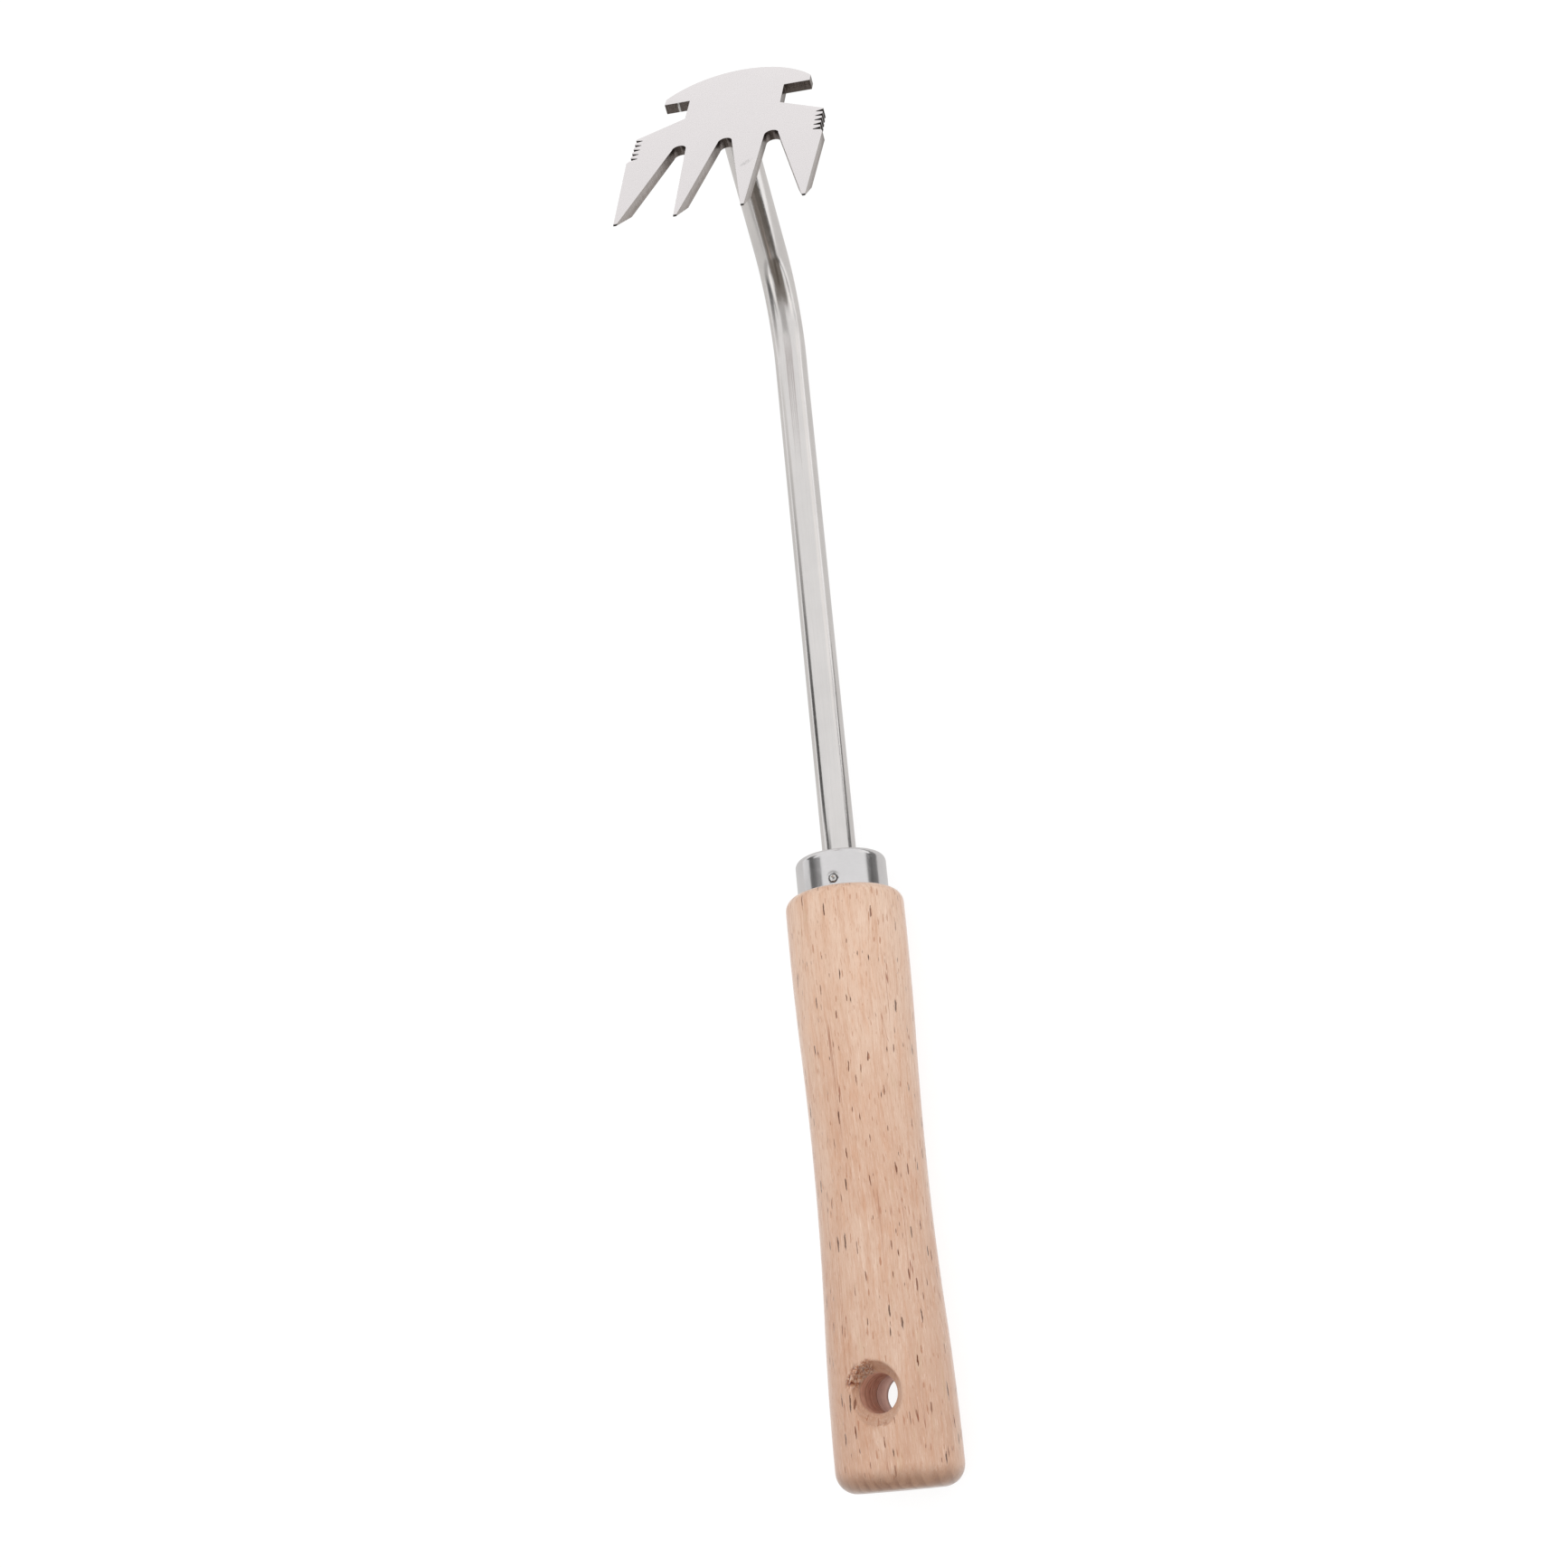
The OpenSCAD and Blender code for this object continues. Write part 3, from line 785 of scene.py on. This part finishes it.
def pin():
    """A small pin, its head peened over to a dome with a punched centre."""
    n = 64
    prof = [(0.0, 4.9), (0.7, 4.9), (0.98, 5.2), (1.02, 6.2), (1.02, 8.0), (1.02, 9.6), (1.03, 10.2), (1.05, 10.42)]
    prof += [(1.04, 10.52), (1.0, 10.62), (0.93, 10.70), (0.84, 10.77), (0.74, 10.82), (0.65, 10.85),
             (0.57, 10.855), (0.50, 10.83), (0.43, 10.77), (0.35, 10.69), (0.26, 10.62), (0.16, 10.58), (0.08, 10.565)]
    verts, rows, faces = [], [], []
    for i, (r, z) in enumerate(prof):
        if r == 0:
            rows.append([len(verts)])
            verts.append((0, PIN_Y, z))
            continue
        ring = []
        for k in range(n):
            a = 2 * math.pi * k / n
            q = r * (1 + (0.03 * noise.noise(Vector((math.cos(a), math.sin(a), z))) if z > 10.4 else 0))
            dz = 0.03 * noise.noise(Vector((2 * q * math.cos(a), 2 * q * math.sin(a), 3.3))) if z > 10.6 else 0
            ring.append(len(verts))
            verts.append((q * math.cos(a), PIN_Y + q * math.sin(a), z + dz))
        rows.append(ring)
    rows.append([len(verts)])
    verts.append((0, PIN_Y, 10.56))
    tube_faces(rows, n, faces)
    turn = Matrix.Rotation(PIN_TURN, 3, "Y")
    verts = [tuple(turn @ Vector(v)) for v in verts]
    ob = make("ferrule_pin_head", verts, faces, [pin_steel.mat], sharp=60)
    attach(ob, "root")
    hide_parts("ferrule_pin")
    return ob


# ---------------------------------------------------------------- the handle

R1, R2 = 799.51, 643.2
CROWN_Y = SHOULDER_Y - 6.5


def radius(y):
    """The turned outline between the butt and the shoulder."""
    if y < BUTT_Y + BUTT_R:
        d = BUTT_Y + BUTT_R - y
        return 14.1 - BUTT_R + math.sqrt(max(0.0, BUTT_R ** 2 - d * d))
    if y < -13:
        return 14.1
    if y < 17:
        return 14.1 - R2 + math.sqrt(R2 ** 2 - (y + 13) ** 2)
    if y < 47:
        return 12.7 + R2 - math.sqrt(R2 ** 2 - (y - 47) ** 2)
    if y < (47 + CROWN_Y) / 2:
        return 12.7 + R1 - math.sqrt(R1 ** 2 - (y - 47) ** 2)
    if y < CROWN_Y:
        return 13.8 - R1 + math.sqrt(R1 ** 2 - (y - CROWN_Y) ** 2)
    if y < SHOULDER_Y - 3:
        return 13.8
    return 10.8 + math.sqrt(max(0.0, 9 - (y - SHOULDER_Y + 3) ** 2))


def handle():
    n = 192
    m = 48  # cells across each hole's patch
    step = 0.458
    half = m // 2 * step
    verts, faces = [], []
    torn, bore, sink = [], [], []

    def add(p, t=0.0, b=0.0, s=0.0):
        verts.append(p)
        torn.append(t)
        bore.append(b)
        sink.append(s)
        return len(verts) - 1

    def skin(a, y):
        """A point of the turned surface, a hair inside the CAD one, with a turner's slight unevenness."""
        r = radius(y)
        r -= 0.02 + 0.02 * noise.noise(Vector((math.cos(a) * 1.1, y * 0.06, math.sin(a) * 1.1)))
        return (r * math.cos(a), y, r * math.sin(a))

    # rows from the butt's centre to the bottom of the tang bore
    rows = []
    rows.append([add((0, BUTT_Y, 0))])
    for i in range(1, 18):
        r = (14.1 - BUTT_R) * i / 17
        rows.append([
            add((r * math.cos(2 * math.pi * k / n), BUTT_Y + 0.015 * noise.noise(Vector((r * math.cos(2 * math.pi * k / n), 0.3, r * math.sin(2 * math.pi * k / n)))) + 0.015,
                 r * math.sin(2 * math.pi * k / n)))
            for k in range(n)
        ])
    ys = []
    for i in range(1, 15):
        a = math.pi / 2 * i / 14
        ys.append(BUTT_Y + BUTT_R - BUTT_R * math.cos(a))
    lo = BUTT_Y + BUTT_R
    k = int(round((-half - lo) / 0.46))
    ys += [lo + (-half - lo) * i / k for i in range(1, k)]
    first = len(rows) + len(ys)
    ys += [-half + step * i for i in range(m + 1)]
    last = first + m
    end = SHOULDER_Y - 3
    k = int(round((end - half) / 0.55))
    ys += [half + (end - half) * i / k for i in range(1, k + 1)]
    ys += [end + 3 * math.sin(math.pi / 2 * i / 10) for i in range(1, 11)]
    for y in ys:
        rows.append([add(skin(2 * math.pi * k / n, y)) for k in range(n)])
    for r, y in (
        (10.3, 0), (9.82, 0), (9.8, 0.1), (9.8, 2.5), (9.8, 5), (9.8, 7), (9.6, 7.25), (8.9, 7.5), (8.8, 7.7),
        (8.75, 8.1), (8.6, 8.2), (7.0, 8.2), (5.2, 8.2), (4.15, 8.2), (4.02, 8.1), (4.0, 7.5), (4.0, -4.5),
        (4.0, -20), (4.0, -35), (4.0, TANG_Y + 3 - SHOULDER_Y), (2.4, TANG_Y - SHOULDER_Y), (1.2, TANG_Y - SHOULDER_Y),
    ):
        rows.append([
            add((r * math.cos(2 * math.pi * k / n), SHOULDER_Y + y, r * math.sin(2 * math.pi * k / n)), b=1.0 if r < 4.1 else 0.0)
            for k in range(n)
        ])
    rows.append([add((0, TANG_Y, 0), b=1.0)])

    # the quads, leaving out the two hole patches
    holes = {}
    for centre in (n // 4, 3 * n // 4):
        for k in range(centre - m // 2, centre + m // 2):
            holes[k % n] = centre
    for i, (a, b) in enumerate(zip(rows, rows[1:])):
        if len(a) == 1:
            faces += [(a[0], b[(k + 1) % n], b[k]) for k in range(n)]
        elif len(b) == 1:
            faces += [(a[k], a[(k + 1) % n], b[0]) for k in range(n)]
        else:
            for k in range(n):
                if first <= i < last and k in holes:
                    continue
                faces.append((a[k], a[(k + 1) % n], b[(k + 1) % n], b[k]))

    def patch(centre, sign):
        """Rings that turn the square gap into the countersink's rim, then go down the countersink."""
        c0, c1 = centre - m // 2, centre + m // 2
        loop = [rows[first][k] for k in range(c0, c1)]
        loop += [rows[i][c1] for i in range(first, last)]
        loop += [rows[last][k] for k in range(c1, c0, -1)]
        loop += [rows[i][c0] for i in range(last, first, -1)]
        count = len(loop)
        xy = [(verts[q][0], verts[q][1]) for q in loop]
        rims = []
        for bx, by in xy:
            al = math.atan2(by, bx)
            rho = 7.0
            for _ in range(40):
                zz = math.sqrt(radius(rho * math.sin(al)) ** 2 - (rho * math.cos(al)) ** 2)
                rho += 0.5 * (BORE_R + zz - SINK_Z - rho)
            rims.append((al, rho))
        rings = [loop]

        def rough(al, rho, z):
            """How torn the wood is here: most at the upper left of the near side."""
            if sign < 0:
                side = 0.25 * math.exp(-((math.atan2(math.sin(al + 0.9), math.cos(al + 0.9))) / 0.5) ** 2)
            else:
                da = math.atan2(math.sin(al - 2.25), math.cos(al - 2.25))
                side = math.exp(-(da / 0.62) ** 4)
                db = math.atan2(math.sin(al + 1.35), math.cos(al + 1.35))
                side += 0.35 * math.exp(-(db / 0.28) ** 2) * smooth(6.0, 6.9, rho)
            edge = noise.noise(Vector((math.cos(al) * 3, math.sin(al) * 3, 2.0 * sign))) * 0.5
            return side * smooth(4.2, 4.7, rho) * (1 - smooth(6.6 + edge, 7.6 + edge, rho))

        def chips(x, y, z):
            """Blocky torn fibre: steps along the grain."""
            a = noise.noise(Vector((x * 1.25, y * 0.55, z * 1.25 + 4)))
            b = noise.noise(Vector((x * 3.1, y * 1.3, z * 3.1 + 9)))
            c = noise.cell(Vector((x * 1.6 + 0.5 * b, y * 0.75 + 0.4 * a, 3.3)))
            return 0.30 * a + 0.22 * b + 0.28 * c

        def put(al, rho, z, on_cone, ring_t):
            x, y = rho * math.cos(al), rho * math.sin(al)
            t = rough(al, rho, z)
            s = smooth(0.0, 0.25, on_cone)
            if t > 0.01:
                d = t * (0.28 + chips(x, y, z))
                d = max(-0.05 * t, d)
                if on_cone > 0:
                    x -= 0.35 * d * math.cos(al) * -1
                    y -= 0.35 * d * math.sin(al) * -1
                z -= sign * d * 0.95
            # cutter marks on the countersink
            if on_cone > 0:
                z -= sign * 0.03 * math.sin(rho * 9.0 + 1.4 * math.sin(2 * al))
            return add((x, y, z), t=min(1.0, 1.25 * t), s=s)

        def surface(x, y):
            rr = radius(y)
            an = math.acos(max(-1, min(1, x / rr)))
            rr -= 0.02 + 0.02 * noise.noise(Vector((math.cos(an) * 1.1, y * 0.06, sign * math.sin(an) * 1.1)))
            return math.sqrt(rr ** 2 - x * x)

        def blend(x, y, q):
            """The turned surface and the cone, run into each other over a few tenths of a millimetre."""
            a, b = surface(x, y), SINK_Z + q - BORE_R
            h = max(0.0, min(1.0, 0.5 + 0.5 * (b - a) / 0.5))
            return b + (a - b) * h - 0.5 * h * (1 - h)

        outer = 15
        for i in range(1, outer):
            t = i / outer
            t = t + 0.18 * math.sin(math.pi * t) * 0.6
            ring = []
            for (bx, by), (al, rho) in zip(xy, rims):
                rx, ry = (rho + 0.42) * math.cos(al), (rho + 0.42) * math.sin(al)
                x, y = bx + (rx - bx) * t, by + (ry - by) * t
                q = math.hypot(x, y)
                ring.append(put(math.atan2(y, x), q, sign * blend(x, y, q), 0.0, t))
            rings.append(ring)
        # the rim, then the cone
        for step_in in (0.42, 0.28, 0.14, 0.0, -0.14, -0.28):
            ring = []
            for al, rho in rims:
                q = rho + step_in
                z = sign * blend(q * math.cos(al), q * math.sin(al), q)
                ring.append(put(al, q, z, 0.12 * smooth(0.2, -0.3, step_in) + (0.001 if step_in < 0 else 0), 1.0))
            rings.append(ring)
        inner = 15
        for i in range(1, inner + 1):
            t = i / inner
            ring = []
            for al, rho in rims:
                q = (rho - 0.28) + (BORE_R + 0.12 - rho + 0.28) * t
                z = sign * blend(q * math.cos(al), q * math.sin(al), q)
                ring.append(put(al, q, z, 0.3 + t, 1.0))
            rings.append(ring)
        for q, dz in ((BORE_R + 0.03, 0.02), (BORE_R, -0.12)):
            ring = []
            for al, rho in rims:
                ring.append(add((q * math.cos(al), q * math.sin(al), sign * (SINK_Z + dz)), b=0.55 if dz < 0 else 0.3, s=1.0))
            rings.append(ring)
        for a, b in zip(rings, rings[1:]):
            for k in range(count):
                faces.append((a[k], a[(k + 1) % count], b[(k + 1) % count], b[k]))
        return rings[-1], [al for al, _ in rims]

    top_ring, angles = patch(n // 4, 1)
    low_ring, low_angles = patch(3 * n // 4, -1)

    # the bore's wall, from the near countersink to the far one
    count = len(top_ring)
    # the far ring runs the other way round and from another start, so match by angle
    order = sorted(range(count), key=lambda k: low_angles[k] % (2 * math.pi))
    low_sorted = [low_ring[k] for k in order]
    order = sorted(range(count), key=lambda k: angles[k] % (2 * math.pi))
    top_sorted = [top_ring[k] for k in order]
    top_angles = [angles[k] for k in order]
    previous = top_sorted
    levels = 40
    for i in range(1, levels):
        z = (SINK_Z - 0.12) * (1 - 2 * i / levels)
        ring = []
        for al in top_angles:
            p = Vector((math.cos(al) * 2.2, math.sin(al) * 2.2, z * 0.8))
            q = BORE_R + 0.035 * (noise.noise(p) - 0.3) * smooth(0, 0.1, i / levels) * smooth(1, 0.9, i / levels)
            q += 0.13 * smooth(-1.7, -2.2, z) * smooth(-10.6, -9.6, z)
            ring.append(add((q * math.cos(al), q * math.sin(al), z), b=1.0))
        for k in range(count):
            faces.append((previous[k], previous[(k + 1) % count], ring[(k + 1) % count], ring[k]))
        previous = ring
    for k in range(count):
        faces.append((previous[k], previous[(k + 1) % count], low_sorted[(k + 1) % count], low_sorted[k]))

    inside = [1 if min(bore[q] for q in f) > 0.5 else 0 for f in faces]
    ob = make("handle_turned", verts, faces, [wood.mat, bore_wood.mat], inside, {"torn": torn, "sink": sink}, 38)
    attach(ob, "root")
    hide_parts("handle")
    return ob


head_plate()
weld()
neck()
ferrule()
pin()
handle()

# loose points left in the removed patches
for ob in list(scene.objects):
    if ob.type == "MESH" and ob.name == "handle_turned":
        bm = bmesh.new()
        bm.from_mesh(ob.data)
        bmesh.ops.delete(bm, geom=[q for q in bm.verts if not q.link_faces], context="VERTS")
        bm.to_mesh(ob.data)
        bm.free()

# ---------------------------------------------------------------- floor, cards, light


def stage_mesh(name, corners, material):
    me = bpy.data.meshes.new(name)
    me.from_pydata(corners, [], [tuple(range(len(corners)))])
    me.materials.append(material)
    ob = bpy.data.objects.new(name, me)
    scene.collection.objects.link(ob)
    return ob


paper = Nodes("paper")
fine = paper.noise(paper.mapping((1000, 1000, 1000)), 0.4, 3, 0.6)
paper.to(paper.ramp(fine, [(0.3, (0.19, 0.19, 0.19)), (0.7, (0.20, 0.20, 0.20))]), "Base Color")
paper.set(Roughness=0.9)
paper.bsdf.inputs["Specular IOR Level"].default_value = 0.0
paper.bsdf.inputs["Emission Color"].default_value = (1, 1, 1, 1)
paper.bsdf.inputs["Emission Strength"].default_value = 0.84
FLOOR = -0.01412
S = 3.0
stage_mesh("floor", [(-S, -S, FLOOR), (S, -S, FLOOR), (S, S, FLOOR), (-S, S, FLOOR)], paper.mat)


def card_material(name, level, tint=(1, 0.985, 0.97)):
    n = Nodes(name)
    n.set(Roughness=1.0)
    n.bsdf.inputs["Base Color"].default_value = (0, 0, 0, 1)
    n.bsdf.inputs["Emission Color"].default_value = (level * tint[0], level * tint[1], level * tint[2], 1)
    n.bsdf.inputs["Emission Strength"].default_value = 1.0
    n.bsdf.inputs["Specular IOR Level"].default_value = 0.0
    return n.mat


DARK = card_material("card_dark", 0.10)
DIM = card_material("card_dim", 0.17)
WARM = card_material("card_warm", 0.105, (1, 0.86, 0.72))
WARM_DIM = card_material("card_warm_dim", 0.18, (1, 0.88, 0.77))
SOFT = card_material("card_soft", 0.46)
GREY = card_material("card_grey", 0.68)
MID = card_material("card_mid", 0.48)
PALE = card_material("card_pale", 0.96)
GLOW = card_material("card_glow", 1.15)

# a flag that pales towards the head
fade = Nodes("card_fade")
_, along, _ = fade.split(fade.mapping((1000, 1000, 1000)))
steps = [(168, 0.14), (180, 0.09), (205, 0.11), (220, 0.15), (238, 0.20), (257, 0.32), (280, 0.46), (328, 0.72)]
fade.set(Roughness=1.0)
fade.bsdf.inputs["Base Color"].default_value = (0, 0, 0, 1)
fade.bsdf.inputs["Specular IOR Level"].default_value = 0.0
fade.bsdf.inputs["Emission Strength"].default_value = 1.0
fade.to(
    fade.ramp(fade.range(along, 168, 328), [((v - 168) / 160, (k, k * 0.985, k * 0.97)) for v, k in steps]),
    "Emission Color",
)


def card(name, corners, material):
    """A studio flag: only seen in reflections."""
    ob = stage_mesh(name, corners, material)
    ob.visible_camera = False
    ob.visible_diffuse = False
    ob.visible_shadow = False
    ob.visible_transmission = False
    ob.visible_volume_scatter = False
    ob.visible_glossy = True
    return ob


def flat(name, x0, y0, x1, y1, z, material):
    return card(name, [(x0, y0, z), (x1, y0, z), (x1, y1, z), (x0, y1, z)], material)


def wall(name, x, corners, material):
    """A flag standing across x, its corners given as (y, z)."""
    return card(name, [(x, y, z) for y, z in corners], material)


def ground(name, corners, lift, material):
    return card(name, [(x, y, FLOOR + lift) for x, y in corners], material)


# a grey base under the tool, so its edges read against the white
ground("card_base", [(-0.30, -0.10), (0.10, -0.10), (0.10, 0.15), (0.083, 0.19), (0.083, 0.40), (-0.30, 0.40)], 0.0002, GREY)
# right: a strip on the base along the neck, then what only the ferrule sees
ground("card_right_strip", [(0.039, 0.10), (0.086, 0.10), (0.086, 0.165), (0.039, 0.196)], 0.0006, DIM)
ground("card_right_floor", [(0.086, 0.10), (0.30, 0.10), (0.30, 0.222), (0.086, 0.152)], 0.0007, DARK)
wall("card_right_wall", 0.30, [(0.12, FLOOR), (0.222, FLOOR), (0.222, 0.030), (0.12, 0.030)], DIM)
wall("card_right_low", 0.47, [(0.24, FLOOR), (0.35, FLOOR), (0.35, 0.018), (0.24, 0.018)], DIM)
wall("card_right_glow", 0.48, [(-0.06, 0.02), (0.06, 0.205), (0.20, 0.205), (0.20, 0.022)], GLOW)
wall("card_right_pale", 0.48, [(0.33, 0.04), (0.33, 0.22), (0.52, 0.22), (0.52, 0.04)], PALE)
# left: a flag that pales towards the head, two beside it for the ferrule, a long grey one for the arm
wall("card_left", -0.15, [(0.176, 0.027), (0.328, 0.027), (0.328, 0.106), (0.176, 0.106)], fade.mat)
wall("card_left_high", -0.15, [(0.148, 0.060), (0.1755, 0.060), (0.185, 0.14), (0.156, 0.14)], DARK)
wall("card_left_top", -0.15, [(0.156, 0.14), (0.185, 0.14), (0.202, 0.215), (0.170, 0.215)], DIM)
wall("card_left_long", -0.3206, [(-0.34, FLOOR), (0.20, FLOOR), (0.20, 0.22), (0.09, 0.25), (0.0, 0.14), (-0.10, 0.08), (-0.34, 0.07)], SOFT)
wall("card_left_glow", -0.3204, [(-0.03, 0.20), (-0.10, 0.12), (-0.22, 0.17), (-0.22, 0.50), (-0.06, 0.52), (-0.01, 0.36)], GLOW)
# below the picture: the dark end of the studio, its floor, walls and what hangs over it
ground("card_front_floor", [(-0.24, -0.60), (0.48, -0.60), (0.48, -0.24), (0.30, -0.03), (0.19, 0.075), (0.127, 0.165), (0.113, 0.182), (0.095, 0.182), (0.095, -0.14), (-0.24, -0.14)], 0.0004, WARM)
card("card_front", [(-0.30, -0.60, FLOOR), (0.48, -0.60, FLOOR), (0.48, -0.60, 0.70), (-0.30, -0.60, 0.70)], WARM_DIM)
card("card_front_core", [(0.15, -0.599, FLOOR), (0.36, -0.599, FLOOR), (0.36, -0.599, 0.62), (0.15, -0.599, 0.62)], WARM)
card("card_front_high", [(-0.32, -0.60, 0.70), (0.48, -0.60, 0.70), (0.48, -0.56, 1.10), (-0.32, -0.56, 1.10)], WARM_DIM)
wall("card_front_left", -0.32, [(-0.60, FLOOR), (-0.42, FLOOR), (-0.42, 0.20), (-0.52, 0.40), (-0.60, 0.40)], WARM)
wall("card_front_left_high", -0.32, [(-0.60, 0.52), (-0.36, 0.52), (-0.19, 0.62), (-0.19, 1.10), (-0.60, 1.10)], WARM_DIM)
wall("card_front_right", 0.481, [(-0.60, FLOOR), (-0.26, FLOOR), (-0.12, 0.13), (-0.05, 0.18), (-0.16, 0.32), (-0.60, 0.32)], WARM_DIM)
wall("card_front_right_high", 0.481, [(-0.60, 0.32), (-0.16, 0.32), (-0.05, 0.18), (0.05, 0.235), (0.0, 0.43), (-0.15, 0.60), (-0.33, 0.86), (-0.60, 0.90)], WARM_DIM)
card("card_ceiling", [(-0.32, -0.58, 1.10), (0.48, -0.58, 1.10), (0.48, 0.24, 1.12), (-0.30, 0.24, 1.12)], MID)
# where the photographer stands
toward = Vector((0.2804, -0.3102, 0.9084)).normalized()
side = toward.cross(Vector((0, 1, 0))).normalized()
over = side.cross(toward).normalized()
middle = Vector((0.140968, -0.026692, 0.495547)) + toward * 0.05
card(
    "card_camera",
    [tuple(middle + (side * math.cos(k * math.pi / 16) + over * math.sin(k * math.pi / 16)) * 0.13) for k in range(32)],
    MID,
)

world = bpy.data.worlds.new("studio")
scene.world = world
world.use_nodes = True
world.node_tree.nodes["Background"].inputs[0].default_value = (1.0, 1.0, 1.0, 1)
world.node_tree.nodes["Background"].inputs[1].default_value = 0.86


def area(name, loc, target, size, watts, shadow=True):
    data = bpy.data.lights.new(name, "AREA")
    data.shape = "DISK"
    data.size = size
    data.energy = watts
    ob = bpy.data.objects.new(name, data)
    ob.location = loc
    ob.rotation_mode = "QUATERNION"
    ob.rotation_quaternion = (Vector(target) - Vector(loc)).to_track_quat("-Z", "Y")
    scene.collection.objects.link(ob)
    data.use_shadow = shadow
    return ob


key = area("key", (0.25, 0.10, 1.4), (0, 0.13, 0), 1.0, 6.0)
key.visible_glossy = False

# ---------------------------------------------------------------- camera

camera = bpy.data.objects.new("camera", bpy.data.cameras.new("camera"))
scene.collection.objects.link(camera)
scene.camera = camera
camera.data.sensor_width = 36
camera.data.lens = 52.5566
camera.data.clip_start = 0.01
camera.data.clip_end = 20
rows = (
    (0.9431714512258439, -0.08678571176450234, -0.320773835943705),
    (0.1783392687156548, 0.9467007726079004, 0.2682401021054572),
    (0.2803974301352916, -0.3102029777050977, 0.9083784419482742),
)
camera.matrix_world = Matrix.Translation((0.140968, -0.026692, 0.495547)) @ Matrix(rows).transposed().to_4x4()

scene.view_settings.view_transform = "Standard"
scene.view_settings.look = "None"
